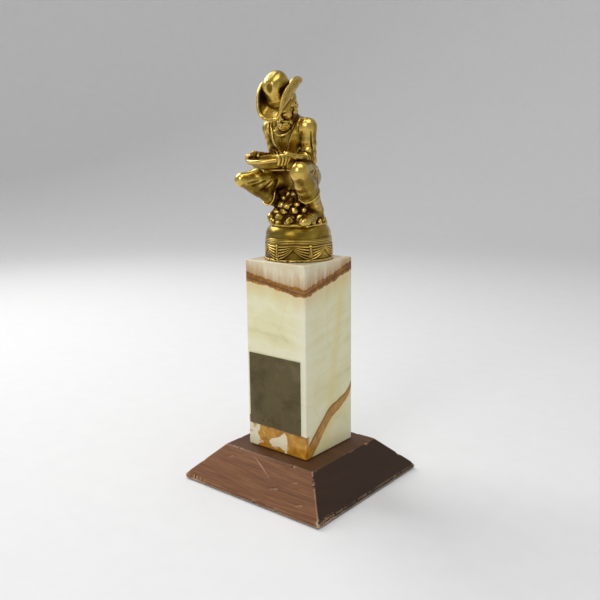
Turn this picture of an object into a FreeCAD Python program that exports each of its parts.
"""Prospector trophy: a gilt cast figure with a gold pan on a swagged drum, an onyx column and a bevelled wood base.

One long tie rod clamps the whole stack: it screws into a nut held in the figure, passes down through the
drum, the column and the base, and ends in a nut and washers in a recess under the base, which felt covers.
Millimetres, +Z up, front towards -Y, origin at the middle of the underside.
"""
import FreeCAD, Part
import Sketcher
import math
import os

Vector = FreeCAD.Vector
Placement = FreeCAD.Placement
Rotation = FreeCAD.Rotation

doc = FreeCAD.newDocument("ProspectorTrophy")
sheet = doc.addObject("Spreadsheet::Sheet", "Sheet")

# Driving dimensions, in millimetres and degrees. The figure's own heights start at the top of the drum.
DIMENSIONS = {
    # wood base and what is under it
    "base_wide": 118.0, "base_deep": 112.5, "base_rim": 2.8, "base_high": 23.5,
    "base_top_wide": 76.2, "base_top_deep": 70.6, "base_easing": 0.4,
    "recess_radius": 11.0, "recess_deep": 11.0, "base_hole_radius": 3.6,
    "felt_thick": 0.8, "felt_inset": 4.0,
    # onyx column, its cushions and its name plate
    "column_wide": 50.8, "column_high": 129.5, "column_hole_radius": 4.8, "column_easing": 0.9,
    "cushion_thick": 0.4, "cushion_hole_radius": 5.0, "base_cushion_radius": 23.0, "drum_cushion_radius": 21.0,
    "plate_wide": 44.3, "plate_high": 50.0, "plate_thick": 0.5, "plate_left": 2.2, "plate_rise": 16.2,
    "tape_thick": 0.15, "tape_inset": 1.5,
    # tie rod and its nuts and washers, quarter-inch size
    "rod_radius": 3.175, "thread_pitch": 1.27, "thread_deep": 0.6, "thread_count": 12, "rod_above_nut": 1.4,
    "nut_corner_radius": 6.4, "nut_high": 5.6, "nut_bore_radius": 3.2, "nut_crown_radius": 6.7,
    "washer_radius": 9.2, "washer_thick": 1.6, "washer_hole_radius": 3.5,
    "spring_radius": 6.2, "spring_thick": 1.6, "spring_hole_radius": 3.35, "spring_gap": 1.2,
    "rod_below_nut": 1.4, "anchor_rise": 2.2, "anchor_play": 0.05,
    # drum, as radii and heights of its outline
    "drum_foot_radius": 23.4, "drum_foot_high": 1.3, "drum_band_low_radius": 22.5, "drum_band_radius": 22.1,
    "drum_band_high": 10.6, "drum_bead_radius": 22.5, "drum_bead_high": 13.2, "drum_neck_radius": 21.8,
    "drum_neck_high": 13.8, "drum_shoulder_radius": 16.5, "drum_high": 23.6, "drum_dome_radius": 7.4,
    "drum_inside_radius": 20.4, "drum_inside_high": 13.6, "drum_web_radius": 15.3, "drum_web_high": 21.6,
    "drum_inner_dome_radius": 6.4, "drum_hole_radius": 3.5,
    # figure: joints of the body as half breadth, distance in front of the axis, and rise
    "hip_half": 8.0, "hip_front": -1.0, "hip_rise": 31.0, "hip_radius": 7.6,
    "knee_half": 23.9, "knee_front": 27.5, "left_knee_rise": 35.2, "right_knee_rise": 29.8, "knee_radius": 5.6,
    "calf_radius": 5.4, "left_ankle_half": 13.4, "right_ankle_half": 11.2, "left_ankle_front": -2.2,
    "right_ankle_front": 0.2, "left_ankle_rise": 9.5, "right_ankle_rise": 13.0,
    "boot_top_radius": 6.3, "boot_share": 0.36, "ankle_radius": 4.9,
    "left_toe_half": 16.2, "right_toe_half": 11.6, "toe_front": 14.2, "left_toe_rise": 3.0, "right_toe_rise": 4.6,
    "toe_radius": 4.0,
    "belly_front": 1.0, "belly_rise": 39.0, "belly_radius": 9.6, "chest_front": 5.0, "chest_rise": 55.0,
    "chest_half": 13.6, "chest_deep": 9.2, "chest_tall": 15.0,
    "shoulder_half": 15.6, "shoulder_front": 8.2, "shoulder_rise": 62.4, "shoulder_radius": 5.6,
    "elbow_half": 14.0, "elbow_front": 6.2, "elbow_rise": 42.4, "elbow_radius": 4.6,
    "wrist_half": 15.4, "wrist_front": 20.5, "wrist_rise": 44.6, "wrist_radius": 3.1,
    "hand_half": 15.0, "hand_front": 28.2, "hand_rise": 44.4, "hand_radius": 3.0,
    "neck_front": 9.5, "neck_rise": 68.0, "neck_radius": 5.4,
    "head_front": 13.4, "head_rise": 75.6, "head_half": 7.4, "head_long": 10.4, "head_deep": 8.6,
    "head_bow": 42.0, "head_turn": 10.0,
    "beard_front": 15.5, "beard_rise": 66.5, "beard_radius": 6.2,
    "hat_half": 0.6, "hat_front": 15.9, "hat_rise": 80.6, "crown_radius": 8.6, "crown_top_radius": 7.6,
    "crown_high": 14.8, "crown_easing": 2.4,
    "brim_half": 12.8, "brim_long": 20.5, "brim_thick": 1.4, "brim_bend_radius": 15.0,
    "rock_radius": 19.5, "rock_rise": 20.0, "rock_top_radius": 8.0, "nugget_radius": 3.8, "seat_radius": 8.6,
    "core_radius": 6.5, "core_top_radius": 5.0, "core_rise": 40.0, "core_start": 9.5,
    # gold pan
    "pan_front": 26.8, "pan_rise": 38.4, "pan_tilt": 7.0, "pan_radius": 15.3, "pan_floor_radius": 10.2,
    "pan_deep": 5.6, "pan_wall": 1.2,
}
for row, (alias, value) in enumerate(DIMENSIONS.items(), start=1):
    sheet.set(f"A{row}", alias)
    sheet.set(f"B{row}", repr(value))
    sheet.setAlias(f"B{row}", alias)
doc.recompute()

pieces = []


def size(alias):
    """A cell's value, in millimetres or degrees."""
    return float(sheet.get(alias))


def bind(thing, field, formula):
    """Ties one property of a document object to the spreadsheet."""
    thing.setExpression(field, formula)


def keep(thing, label, at=None):
    """Registers a finished sub-part under the name of its node."""
    thing.Label = label
    if at is not None:
        thing.Placement = at
    pieces.append(thing)
    return thing


def lifted(rise):
    return Placement(Vector(0, 0, rise), Rotation())


# --- heights of the stack, from the table up ---
base_floor = size("felt_thick")
column_floor = base_floor + size("base_high") + size("cushion_thick")
column_top = column_floor + size("column_high")
drum_floor = column_top + size("cushion_thick")
figure_floor = drum_floor + size("drum_high")
recess_roof = base_floor + size("recess_deep")
spring_top = recess_roof - size("washer_thick")
nut_top = spring_top - size("spring_thick")
nut_bottom = nut_top - size("nut_high")
rod_bottom = nut_bottom - size("rod_below_nut")
anchor_bottom = figure_floor + size("anchor_rise")
rod_top = anchor_bottom + size("nut_high") + size("rod_above_nut")
# The same rod's length as a spreadsheet formula: from below the hex nut to above the anchor nut.
ROD_LENGTH = ("Sheet.base_high - Sheet.recess_deep + 2 * Sheet.cushion_thick + Sheet.column_high + Sheet.drum_high"
              " + Sheet.washer_thick + Sheet.spring_thick + 2 * Sheet.nut_high + Sheet.anchor_rise"
              " + Sheet.rod_above_nut + Sheet.rod_below_nut")


# --- PartDesign helpers ---
def origin_plane(body, role):
    for feature in body.Origin.OriginFeatures:
        if feature.Role == role:
            return feature
    raise ValueError(role)


def new_sketch(body, name, role="XY_Plane", rise=None):
    """A sketch on one of the body's own origin planes, lifted by a spreadsheet formula."""
    sketch = body.newObject("Sketcher::SketchObject", name)
    sketch.AttachmentSupport = [(origin_plane(body, role), "")]
    sketch.MapMode = "FlatFace"
    if rise:
        bind(sketch, "AttachmentOffset.Base.z", rise)
    return sketch


def draw_rectangle(sketch, wide, deep, wide_value, deep_value):
    """A rectangle centred on the sketch's origin; wide and deep are spreadsheet formulas."""
    x, y = wide_value / 2, deep_value / 2
    corners = [Vector(-x, -y, 0), Vector(x, -y, 0), Vector(x, y, 0), Vector(-x, y, 0)]
    for i in range(4):
        sketch.addGeometry(Part.LineSegment(corners[i], corners[(i + 1) % 4]), False)
    for i in range(4):
        sketch.addConstraint(Sketcher.Constraint("Coincident", i, 2, (i + 1) % 4, 1))
    for i in (0, 2):
        sketch.addConstraint(Sketcher.Constraint("Horizontal", i))
    for i in (1, 3):
        sketch.addConstraint(Sketcher.Constraint("Vertical", i))
    sketch.addConstraint(Sketcher.Constraint("Symmetric", 0, 1, 1, 2, -1, 1))
    index = sketch.addConstraint(Sketcher.Constraint("DistanceX", 0, 1, 0, 2, wide_value))
    bind(sketch, f"Constraints[{index}]", wide)
    index = sketch.addConstraint(Sketcher.Constraint("DistanceY", 1, 1, 1, 2, deep_value))
    bind(sketch, f"Constraints[{index}]", deep)


def draw_circle(sketch, alias):
    """A circle about the sketch's origin with its radius from the spreadsheet."""
    sketch.addGeometry(Part.Circle(Vector(0, 0, 0), Vector(0, 0, 1), size(alias)), False)
    sketch.addConstraint(Sketcher.Constraint("Coincident", 0, 3, -1, 1))
    index = sketch.addConstraint(Sketcher.Constraint("Radius", 0, size(alias)))
    bind(sketch, f"Constraints[{index}]", f"Sheet.{alias}")


def pad(body, sketch, length):
    feature = body.newObject("PartDesign::Pad", sketch.Name + "Pad")
    feature.Profile = sketch
    bind(feature, "Length", length)
    return feature


def pocket(body, sketch, length, reversed_cut):
    """A pocket that must remove material: reversed_cut sends it along the sketch's normal."""
    doc.recompute()
    before = body.Shape.Volume
    feature = body.newObject("PartDesign::Pocket", sketch.Name + "Pocket")
    feature.Profile = sketch
    feature.Reversed = reversed_cut
    bind(feature, "Length", length)
    doc.recompute()
    if body.Shape.Volume > before - 1e-3:
        raise RuntimeError(f"{feature.Name} cut nothing")
    return feature


def ease_edges(body, radius, wanted):
    """A fillet on the edges of the body's tip for which wanted(edge) holds."""
    doc.recompute()
    tip = body.Tip
    names = [f"Edge{i}" for i, edge in enumerate(tip.Shape.Edges, start=1) if wanted(edge)]
    feature = body.newObject("PartDesign::Fillet", tip.Name + "Easing")
    feature.Base = (tip, names)
    bind(feature, "Radius", radius)
    return feature


def is_straight(edge):
    return isinstance(edge.Curve, (Part.Line, Part.LineSegment))


# --- wood base: a block with a thin upright rim, four sloping sides and a stepped hole ---
def make_wood_base():
    body = doc.addObject("PartDesign::Body", "WoodBase")
    wide, deep = size("base_wide"), size("base_deep")
    rim = new_sketch(body, "BaseRim")
    draw_rectangle(rim, "Sheet.base_wide", "Sheet.base_deep", wide, deep)
    pad(body, rim, "Sheet.base_rim")
    lower = new_sketch(body, "BaseSlopeFoot", rise="Sheet.base_rim")
    draw_rectangle(lower, "Sheet.base_wide", "Sheet.base_deep", wide, deep)
    upper = new_sketch(body, "BaseTop", rise="Sheet.base_high")
    draw_rectangle(upper, "Sheet.base_top_wide", "Sheet.base_top_deep",
                   size("base_top_wide"), size("base_top_deep"))
    slope = body.newObject("PartDesign::AdditiveLoft", "BaseSlope")
    slope.Profile = lower
    slope.Sections = [upper]
    slope.Ruled = True
    ease_edges(body, "Sheet.base_easing", is_straight)
    hole = new_sketch(body, "RodHole")
    draw_circle(hole, "base_hole_radius")
    pocket(body, hole, "Sheet.base_high", True)
    recess = new_sketch(body, "NutRecess")
    draw_circle(recess, "recess_radius")
    pocket(body, recess, "Sheet.recess_deep", True)
    bind(body, "Placement.Base.z", "Sheet.felt_thick")
    return keep(body, "wood_base")


def make_felt_pad():
    body = doc.addObject("PartDesign::Body", "FeltPad")
    outline = new_sketch(body, "FeltOutline")
    inset = 2 * size("felt_inset")
    draw_rectangle(outline, "Sheet.base_wide - 2 * Sheet.felt_inset", "Sheet.base_deep - 2 * Sheet.felt_inset",
                   size("base_wide") - inset, size("base_deep") - inset)
    pad(body, outline, "Sheet.felt_thick")
    return keep(body, "felt_pad")


# --- onyx column: a drilled block with eased edges ---
def make_column():
    body = doc.addObject("PartDesign::Body", "OnyxColumn")
    outline = new_sketch(body, "ColumnOutline")
    draw_rectangle(outline, "Sheet.column_wide", "Sheet.column_wide", size("column_wide"), size("column_wide"))
    pad(body, outline, "Sheet.column_high")
    ease_edges(body, "Sheet.column_easing", is_straight)
    hole = new_sketch(body, "ColumnHole")
    draw_circle(hole, "column_hole_radius")
    pocket(body, hole, "Sheet.column_high", True)
    return keep(body, "onyx_column", lifted(column_floor))


def make_cushion(label, radius_alias, rise):
    """A thin ring that keeps metal or wood from grinding on the stone."""
    outer = doc.addObject("Part::Cylinder", label + "_disc")
    inner = doc.addObject("Part::Cylinder", label + "_hole")
    bind(outer, "Radius", f"Sheet.{radius_alias}")
    bind(inner, "Radius", "Sheet.cushion_hole_radius")
    for disc in (outer, inner):
        bind(disc, "Height", "Sheet.cushion_thick")
    ring = doc.addObject("Part::Cut", label + "_ring")
    ring.Base, ring.Tool = outer, inner
    return keep(ring, label, lifted(rise))


# --- name plate and the tape behind it ---
def plate_origin(inset, depth):
    """The lower left back corner of a sheet on the column's front face, set in by inset."""
    left = -size("column_wide") / 2 + size("plate_left") + inset
    return Vector(left, -size("column_wide") / 2 - depth, column_floor + size("plate_rise") + inset)


def make_name_plate():
    tape = doc.addObject("Part::Box", "Tape")
    bind(tape, "Length", "Sheet.plate_wide - 2 * Sheet.tape_inset")
    bind(tape, "Width", "Sheet.tape_thick")
    bind(tape, "Height", "Sheet.plate_high - 2 * Sheet.tape_inset")
    keep(tape, "name_plate_tape", Placement(plate_origin(size("tape_inset"), size("tape_thick")), Rotation()))
    plate = doc.addObject("Part::Box", "Plate")
    bind(plate, "Length", "Sheet.plate_wide")
    bind(plate, "Width", "Sheet.plate_thick")
    bind(plate, "Height", "Sheet.plate_high")
    depth = size("tape_thick") + size("plate_thick")
    return keep(plate, "name_plate", Placement(plate_origin(0, depth), Rotation()))


# --- tie rod, nuts and washers ---
def cut_thread(body, name, rise, up):
    """Ring grooves at one end of the rod, stepped by the pitch away from that end."""
    r, deep, half = size("rod_radius"), size("thread_deep"), size("thread_pitch") / 2
    outside = r + 0.2
    sketch = body.newObject("Sketcher::SketchObject", name)
    sketch.AttachmentSupport = [(origin_plane(body, "XZ_Plane"), "")]
    sketch.MapMode = "FlatFace"
    flank = half * 0.9
    points = [Vector(outside, rise - flank, 0), Vector(r - deep, rise, 0), Vector(outside, rise + flank, 0)]
    for i in range(3):
        sketch.addGeometry(Part.LineSegment(points[i], points[(i + 1) % 3]), False)
    for i in range(3):
        sketch.addConstraint(Sketcher.Constraint("Coincident", i, 2, (i + 1) % 3, 1))
    index = sketch.addConstraint(Sketcher.Constraint("DistanceX", -1, 1, 1, 1, r - deep))
    bind(sketch, f"Constraints[{index}]", "Sheet.rod_radius - Sheet.thread_deep")
    doc.recompute()
    before = body.Shape.Volume
    groove = body.newObject("PartDesign::Groove", name + "Groove")
    groove.Profile = sketch
    groove.ReferenceAxis = (sketch, ["V_Axis"])
    groove.Angle = 360
    doc.recompute()
    if body.Shape.Volume > before - 1e-3:
        raise RuntimeError(f"{groove.Name} cut nothing")
    thread = body.newObject("PartDesign::LinearPattern", name + "Thread")
    thread.Originals = [groove]
    thread.Direction = (sketch, ["V_Axis"])
    thread.Reversed = not up
    bind(thread, "Length", "Sheet.thread_pitch * (Sheet.thread_count - 1)")
    bind(thread, "Occurrences", "Sheet.thread_count")
    body.Tip = thread


def make_tie_rod():
    body = doc.addObject("PartDesign::Body", "TieRod")
    section = new_sketch(body, "RodSection")
    draw_circle(section, "rod_radius")
    pad(body, section, ROD_LENGTH)
    cut_thread(body, "LowerEnd", size("thread_pitch"), True)
    cut_thread(body, "UpperEnd", rod_top - rod_bottom - size("thread_pitch"), False)
    return keep(body, "tie_rod", lifted(rod_bottom))


def make_nut(label, rise):
    """A hexagon nut: a prism rounded at its corners by a sphere, with a plain bore."""
    prism = doc.addObject("Part::Prism", label + "_prism")
    prism.Polygon = 6
    bind(prism, "Circumradius", "Sheet.nut_corner_radius")
    bind(prism, "Height", "Sheet.nut_high")
    crown = doc.addObject("Part::Sphere", label + "_crown")
    bind(crown, "Radius", "Sheet.nut_crown_radius")
    crown.Placement = lifted(size("nut_high") / 2)
    blank = doc.addObject("Part::Common", label + "_blank")
    blank.Base, blank.Tool = prism, crown
    bore = doc.addObject("Part::Cylinder", label + "_bore")
    bind(bore, "Radius", "Sheet.nut_bore_radius")
    bind(bore, "Height", "Sheet.nut_high")
    nut = doc.addObject("Part::Cut", label + "_nut")
    nut.Base, nut.Tool = blank, bore
    return keep(nut, label, lifted(rise))


def make_washer(label, radius_alias, thick_alias, hole_alias, rise):
    disc = doc.addObject("Part::Cylinder", label + "_disc")
    hole = doc.addObject("Part::Cylinder", label + "_hole")
    bind(disc, "Radius", f"Sheet.{radius_alias}")
    bind(hole, "Radius", f"Sheet.{hole_alias}")
    for cylinder in (disc, hole):
        bind(cylinder, "Height", f"Sheet.{thick_alias}")
    ring = doc.addObject("Part::Cut", label + "_ring")
    ring.Base, ring.Tool = disc, hole
    if label != "lock_washer":
        return keep(ring, label, lifted(rise))
    slit = doc.addObject("Part::Box", label + "_slit")
    bind(slit, "Length", f"Sheet.{radius_alias} + 1")
    bind(slit, "Width", "Sheet.spring_gap")
    bind(slit, "Height", f"Sheet.{thick_alias} * 2")
    slit.Placement = Placement(Vector(0, -size("spring_gap") / 2, -size(thick_alias) / 2),
                               Rotation(Vector(0, 0, 1), 25))
    split = doc.addObject("Part::Cut", label + "_split")
    split.Base, split.Tool = ring, slit
    return keep(split, label, lifted(rise))


# --- solids of revolution from an outline of straight runs and arcs ---
def revolve_outline(body, name, corners, arcs):
    """Revolves a closed outline about Z. corners are (radius, height) pairs of cell names or numbers; arcs maps
    a side's number to (cell name of its radius, bulge side: 1 outwards, -1 inwards)."""
    sketch = body.newObject("Sketcher::SketchObject", name)
    sketch.AttachmentSupport = [(origin_plane(body, "XZ_Plane"), "")]
    sketch.MapMode = "FlatFace"

    def number(entry):
        return size(entry) if isinstance(entry, str) else float(entry)

    points = [Vector(number(r), number(z), 0) for r, z in corners]
    count = len(points)
    for i in range(count):
        start, end = points[i], points[(i + 1) % count]
        if i in arcs:
            radius, side = size(arcs[i][0]), arcs[i][1]
            half = (end - start).Length / 2
            middle = (start + end) / 2
            across = Vector(end.y - start.y, start.x - end.x, 0).normalize() * side
            sagitta = radius - math.sqrt(radius * radius - half * half)
            arc = Part.Arc(start, middle + across * sagitta, end)
            sketch.addGeometry(arc, False)
        else:
            sketch.addGeometry(Part.LineSegment(start, end), False)
    for i in range(count):
        this_end = arc_end(sketch, i, points[(i + 1) % count])
        next_start = arc_end(sketch, (i + 1) % count, points[(i + 1) % count])
        sketch.addConstraint(Sketcher.Constraint("Coincident", i, this_end, (i + 1) % count, next_start))
    for i, (r, z) in enumerate(corners):
        vertex = arc_end(sketch, i, points[i])
        for kind, entry in (("DistanceX", r), ("DistanceY", z)):
            value = number(entry)
            if value == 0:
                axis = -1 if kind == "DistanceY" else -2
                sketch.addConstraint(Sketcher.Constraint("PointOnObject", i, vertex, axis))
                continue
            index = sketch.addConstraint(Sketcher.Constraint(kind, -1, 1, i, vertex, value))
            if isinstance(entry, str):
                bind(sketch, f"Constraints[{index}]", f"Sheet.{entry}")
    for i, (alias, _) in arcs.items():
        index = sketch.addConstraint(Sketcher.Constraint("Radius", i, size(alias)))
        bind(sketch, f"Constraints[{index}]", f"Sheet.{alias}")
    turned = body.newObject("PartDesign::Revolution", name + "Turned")
    turned.Profile = sketch
    turned.ReferenceAxis = (sketch, ["V_Axis"])
    turned.Angle = 360
    return turned


def arc_end(sketch, index, point):
    """Which end of a sketch edge, 1 or 2, lies at a point."""
    edge = sketch.Geometry[index]
    return 1 if (edge.StartPoint - point).Length < (edge.EndPoint - point).Length else 2


# --- drum: a hollow turned casting with a foot, a band for the swags, a bead and a dome ---
def make_drum():
    body = doc.addObject("PartDesign::Body", "Drum")
    corners = [
        ("drum_inside_radius", 0), ("drum_foot_radius", 0), ("drum_foot_radius", "drum_foot_high"),
        ("drum_band_low_radius", "drum_foot_high"), ("drum_band_radius", "drum_band_high"),
        ("drum_bead_radius", "drum_band_high"), ("drum_bead_radius", "drum_bead_high"),
        ("drum_neck_radius", "drum_neck_high"), ("drum_shoulder_radius", "drum_high"),
        ("drum_hole_radius", "drum_high"), ("drum_hole_radius", "drum_web_high"),
        ("drum_web_radius", "drum_web_high"), ("drum_inside_radius", "drum_inside_high"),
    ]
    revolve_outline(body, "DrumOutline", corners, {7: ("drum_dome_radius", 1), 11: ("drum_inner_dome_radius", -1)})
    return keep(body, "swag_drum", lifted(drum_floor))


# --- gold pan: a shallow dish with sloping walls, tilted forward ---
def pan_placement():
    tilt = Rotation(Vector(1, 0, 0), size("pan_tilt"))
    return Placement(Vector(0, -size("pan_front"), figure_floor + size("pan_rise")), tilt)


def make_pan():
    outer = doc.addObject("Part::Cone", "PanOuter")
    bind(outer, "Radius1", "Sheet.pan_floor_radius")
    bind(outer, "Radius2", "Sheet.pan_radius")
    bind(outer, "Height", "Sheet.pan_deep")
    inner = doc.addObject("Part::Cone", "PanInner")
    bind(inner, "Radius1", "Sheet.pan_floor_radius - Sheet.pan_wall * 0.6")
    bind(inner, "Radius2", "Sheet.pan_radius - Sheet.pan_wall")
    bind(inner, "Height", "Sheet.pan_deep")
    inner.Placement = lifted(size("pan_wall"))
    dish = doc.addObject("Part::Cut", "PanDish")
    dish.Base, dish.Tool = outer, inner
    return keep(dish, "gold_pan", pan_placement())


# --- figure: rounded limbs between the body's joints, fused into one casting ---
def at(half, front, rise):
    """A point of the figure: half breadth to the figure's left, distance in front of the axis, rise."""
    return Vector(half, -front, rise)


def point(half, front, rise, side=1):
    return at(side * size(half), size(front), size(rise))


clay = []


def ball(name, centre, alias):
    sphere = doc.addObject("Part::Sphere", name)
    bind(sphere, "Radius", f"Sheet.{alias}")
    sphere.Placement = Placement(centre, Rotation())
    clay.append(sphere)


def egg(name, centre, half, deep, tall, rotation):
    """An ellipsoid with its semi-axes along X, Y and Z before the rotation."""
    solid = doc.addObject("Part::Ellipsoid", name)
    bind(solid, "Radius1", tall)
    bind(solid, "Radius2", half)
    bind(solid, "Radius3", deep)
    solid.Angle1, solid.Angle2, solid.Angle3 = -90, 90, 360
    solid.Placement = Placement(centre, rotation)
    clay.append(solid)


def limb(name, start, end, start_radius, end_radius):
    """A tapered limb between two joints; the radii are spreadsheet formulas."""
    along = end - start
    cone = doc.addObject("Part::Cone", name)
    bind(cone, "Radius1", start_radius)
    bind(cone, "Radius2", end_radius)
    cone.Height = along.Length
    cone.Placement = Placement(start, Rotation(Vector(0, 0, 1), along))
    clay.append(cone)


def make_legs():
    for word, side in (("Left", 1), ("Right", -1)):
        low = word.lower()
        hip = point("hip_half", "hip_front", "hip_rise", side)
        knee = point("knee_half", "knee_front", f"{low}_knee_rise", side)
        ankle = point(f"{low}_ankle_half", f"{low}_ankle_front", f"{low}_ankle_rise", side)
        toe = point(f"{low}_toe_half", "toe_front", f"{low}_toe_rise", side)
        boot_top = ankle + (knee - ankle) * size("boot_share")
        ball(word + "Hip", hip, "hip_radius")
        limb(word + "Thigh", hip, knee, "Sheet.hip_radius * 0.93", "Sheet.knee_radius * 0.95")
        ball(word + "Knee", knee, "knee_radius")
        limb(word + "Calf", knee, ankle, "Sheet.knee_radius * 0.93", "Sheet.calf_radius * 0.85")
        limb(word + "Boot", ankle, boot_top, "Sheet.ankle_radius * 0.97", "Sheet.boot_top_radius")
        ball(word + "Ankle", ankle, "ankle_radius")
        limb(word + "Heel", ankle, Vector(ankle.x, ankle.y, 0), "Sheet.ankle_radius * 0.95", "Sheet.ankle_radius")
        limb(word + "Foot", Vector(ankle.x, ankle.y, toe.z + 0.6), toe,
             "Sheet.ankle_radius * 0.9", "Sheet.toe_radius * 0.95")
        ball(word + "Toe", toe, "toe_radius")


def leaning(angle):
    """A lean forward about X, in degrees."""
    return Rotation(Vector(1, 0, 0), angle)


def make_torso():
    belly = at(0, size("belly_front"), size("belly_rise"))
    chest = at(0, size("chest_front"), size("chest_rise"))
    egg("Belly", belly, "Sheet.belly_radius * 1.15", "Sheet.belly_radius", "Sheet.belly_radius * 1.5", leaning(8))
    egg("Chest", chest, "Sheet.chest_half", "Sheet.chest_deep", "Sheet.chest_tall", leaning(16))
    egg("Seat", at(0, size("hip_front"), size("hip_rise") - 3),
        "Sheet.seat_radius * 1.4", "Sheet.seat_radius * 0.95", "Sheet.seat_radius * 1.05", leaning(0))


def make_arms():
    for word, side in (("Left", 1), ("Right", -1)):
        shoulder = point("shoulder_half", "shoulder_front", "shoulder_rise", side)
        elbow = point("elbow_half", "elbow_front", "elbow_rise", side)
        wrist = point("wrist_half", "wrist_front", "wrist_rise", side)
        hand = point("hand_half", "hand_front", "hand_rise", side)
        ball(word + "Shoulder", shoulder, "shoulder_radius")
        limb(word + "UpperArm", shoulder, elbow, "Sheet.shoulder_radius * 0.95", "Sheet.elbow_radius * 0.96")
        ball(word + "Elbow", elbow, "elbow_radius")
        limb(word + "Forearm", elbow, wrist, "Sheet.elbow_radius * 0.95", "Sheet.wrist_radius * 0.95")
        ball(word + "Wrist", wrist, "wrist_radius")
        limb(word + "Palm", wrist, hand, "Sheet.wrist_radius * 0.93", "Sheet.hand_radius * 0.95")
        ball(word + "Hand", hand, "hand_radius")


def head_rotation():
    """The head bows forward, then turns a little to the figure's left."""
    return Rotation(Vector(0, 0, 1), size("head_turn")) * Rotation(Vector(1, 0, 0), size("head_bow"))


def make_head():
    chest_top = at(0, size("chest_front"), size("shoulder_rise"))
    neck = at(0, size("neck_front"), size("neck_rise"))
    head = at(0, size("head_front"), size("head_rise"))
    limb("Collar", chest_top, neck, "Sheet.neck_radius * 1.5", "Sheet.neck_radius")
    limb("Neck", neck, head, "Sheet.neck_radius * 0.98", "Sheet.neck_radius * 0.9")
    egg("Head", head, "Sheet.head_half", "Sheet.head_deep", "Sheet.head_long", head_rotation())
    ball("Beard", at(0, size("beard_front"), size("beard_rise")), "beard_radius")


def make_hat():
    """Crown and brim, both bowed forward with the head; the brim is a plate bent up at the sides."""
    bowed = Placement(point("hat_half", "hat_front", "hat_rise"), head_rotation())
    block = doc.addObject("Part::Cone", "CrownBlock")
    bind(block, "Radius1", "Sheet.crown_radius")
    bind(block, "Radius2", "Sheet.crown_top_radius")
    bind(block, "Height", "Sheet.crown_high")
    doc.recompute()
    crown = doc.addObject("Part::Fillet", "Crown")
    crown.Base = block
    top = [i for i, edge in enumerate(block.Shape.Edges, start=1) if edge.BoundBox.ZMin > size("crown_high") - 0.1]
    crown.Edges = [(i, size("crown_easing"), size("crown_easing")) for i in top]
    crown.Placement = bowed
    clay.append(crown)

    along = Rotation(Vector(1, 0, 0), -90)
    reach = size("brim_long")
    bend = size("brim_bend_radius")
    sleeves = []
    for name, radius in (("BrimOutside", "Sheet.brim_bend_radius"),
                         ("BrimInside", "Sheet.brim_bend_radius - Sheet.brim_thick")):
        sleeve = doc.addObject("Part::Cylinder", name)
        bind(sleeve, "Radius", radius)
        sleeve.Height = 2 * reach
        sleeve.Placement = Placement(Vector(0, -reach, bend), along)
        sleeves.append(sleeve)
    shell = doc.addObject("Part::Cut", "BrimShell")
    shell.Base, shell.Tool = sleeves
    outline = doc.addObject("Part::Feature", "BrimOutline")
    long_way = Part.Ellipse(Vector(0, reach, 0), Vector(size("brim_half"), 0, 0), Vector(0, 0, 0))
    wire = Part.Wire([long_way.toShape()])
    outline.Shape = Part.Face(wire).extrude(Vector(0, 0, bend * 0.8))
    outline.Placement = lifted(-0.5)
    brim = doc.addObject("Part::Common", "Brim")
    brim.Base, brim.Tool = shell, outline
    brim.Placement = bowed
    clay.append(brim)


def make_rocks():
    """The heap of nuggets that the figure sits on and straddles."""
    rise, radius = size("rock_rise"), size("rock_radius")
    heap = doc.addObject("Part::Cone", "Heap")
    bind(heap, "Radius1", "Sheet.rock_radius")
    bind(heap, "Radius2", "Sheet.rock_top_radius")
    bind(heap, "Height", "Sheet.rock_rise")
    clay.append(heap)
    # Each ring: how many nuggets, their distance from the axis and their height, as shares of the heap's.
    rings = ((20, 0.84, 0.06), (17, 0.73, 0.34), (13, 0.60, 0.62), (8, 0.42, 0.92))
    for level, (count, spread, height) in enumerate(rings):
        for i in range(count):
            turn = math.tau * (i + 0.5 * (level % 2)) / count
            centre = Vector(radius * spread * math.cos(turn), radius * spread * math.sin(turn), rise * height)
            ball(f"Nugget{level}x{i}", centre, "nugget_radius")


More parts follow.
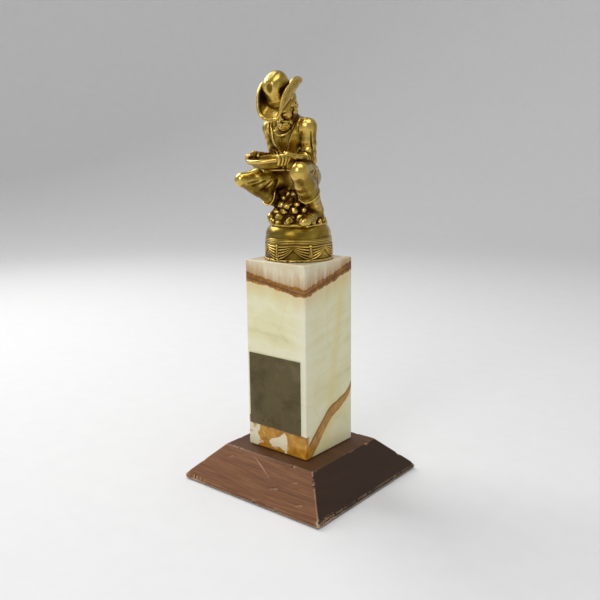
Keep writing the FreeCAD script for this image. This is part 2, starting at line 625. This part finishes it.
def make_figure():
    make_rocks()
    heap_count = len(clay)
    make_legs()
    make_torso()
    make_arms()
    make_head()
    make_hat()
    # The heap and the man are fused apart first, which keeps each fusion small.
    heap = doc.addObject("Part::MultiFuse", "HeapClay")
    heap.Shapes = clay[:heap_count]
    man = doc.addObject("Part::MultiFuse", "ManClay")
    man.Shapes = clay[heap_count:]
    whole = doc.addObject("Part::Fuse", "FigureClay")
    whole.Base, whole.Tool = heap, man
    doc.recompute()

    solid = whole.Shape
    floor = size("drum_high")
    # The drum under it and the pan it holds are cut away, so that the castings meet face to face.
    under = drum_envelope()
    under.translate(Vector(0, 0, -floor))
    solid = solid.cut(under)
    pan = pan_envelope()
    solid = solid.cut(pan)
    core = Part.makeCone(size("core_radius"), size("core_top_radius"), size("core_rise") - size("core_start"),
                         Vector(0, 0, size("core_start")))
    hole = Part.makeCylinder(size("drum_hole_radius"), size("anchor_rise") + 1, Vector(0, 0, -0.5))
    corner = size("nut_corner_radius") + size("anchor_play")
    corners = [Vector(corner * math.cos(math.radians(60 * i)), corner * math.sin(math.radians(60 * i)),
                      size("anchor_rise")) for i in range(7)]
    pocket_shape = Part.Face(Part.makePolygon(corners)).extrude(Vector(0, 0, size("nut_high")))
    shaft = Part.makeCylinder(size("drum_hole_radius"), size("core_start") - size("anchor_rise"),
                              Vector(0, 0, size("anchor_rise") + 0.5))
    for tool in (core, hole, pocket_shape, shaft):
        solid = solid.cut(tool)
    solids = sorted(solid.Solids, key=lambda s: -s.Volume)
    figure = doc.addObject("Part::Feature", "Figure")
    figure.Shape = solids[0]
    return keep(figure, "prospector_figure", lifted(figure_floor))


def drum_envelope():
    """The drum's outer shape, filled, standing on z = 0."""
    tool = [p for p in pieces if p.Label == "swag_drum"][0].Shape.copy()
    tool.translate(Vector(0, 0, -drum_floor))
    inside = Part.makeCylinder(size("drum_inside_radius"), size("drum_web_high") - 1)
    return tool.fuse(inside)


def pan_envelope():
    """The pan's outer shape, filled to just above its rim, where it sits in the figure's hands."""
    cone = Part.makeCone(size("pan_floor_radius"), size("pan_radius"), size("pan_deep"))
    over = Part.makeCylinder(size("pan_radius") - 1.2, 4.0, Vector(0, 0, size("pan_deep")))
    tool = cone.fuse(over)
    tilt = pan_placement()
    tool.Placement = Placement(tilt.Base - Vector(0, 0, figure_floor), tilt.Rotation)
    return tool


make_felt_pad()
make_wood_base()
make_washer("flat_washer", "washer_radius", "washer_thick", "washer_hole_radius", spring_top)
make_washer("lock_washer", "spring_radius", "spring_thick", "spring_hole_radius", nut_top)
make_nut("hex_nut", nut_bottom)
make_tie_rod()
make_cushion("base_cushion", "base_cushion_radius", column_floor - size("cushion_thick"))
make_column()
make_name_plate()
make_cushion("drum_cushion", "drum_cushion_radius", column_top)
make_drum()
doc.recompute()
make_pan()
make_nut("anchor_nut", anchor_bottom)
make_figure()
doc.recompute()

for thing in doc.Objects:
    if "Invalid" in thing.State or "Error" in thing.State:
        raise RuntimeError(f"{thing.Label} failed: {thing.State}")
os.makedirs("parts", exist_ok=True)
for piece in pieces:
    shape = piece.Shape
    if shape.isNull() or not shape.isValid():
        raise RuntimeError(f"{piece.Label} has no valid shape")
    shape.exportStep(f"parts/{piece.Label}.step")
    print(f"{piece.Label:20s} solids {len(shape.Solids)} volume {shape.Volume:10.1f}")
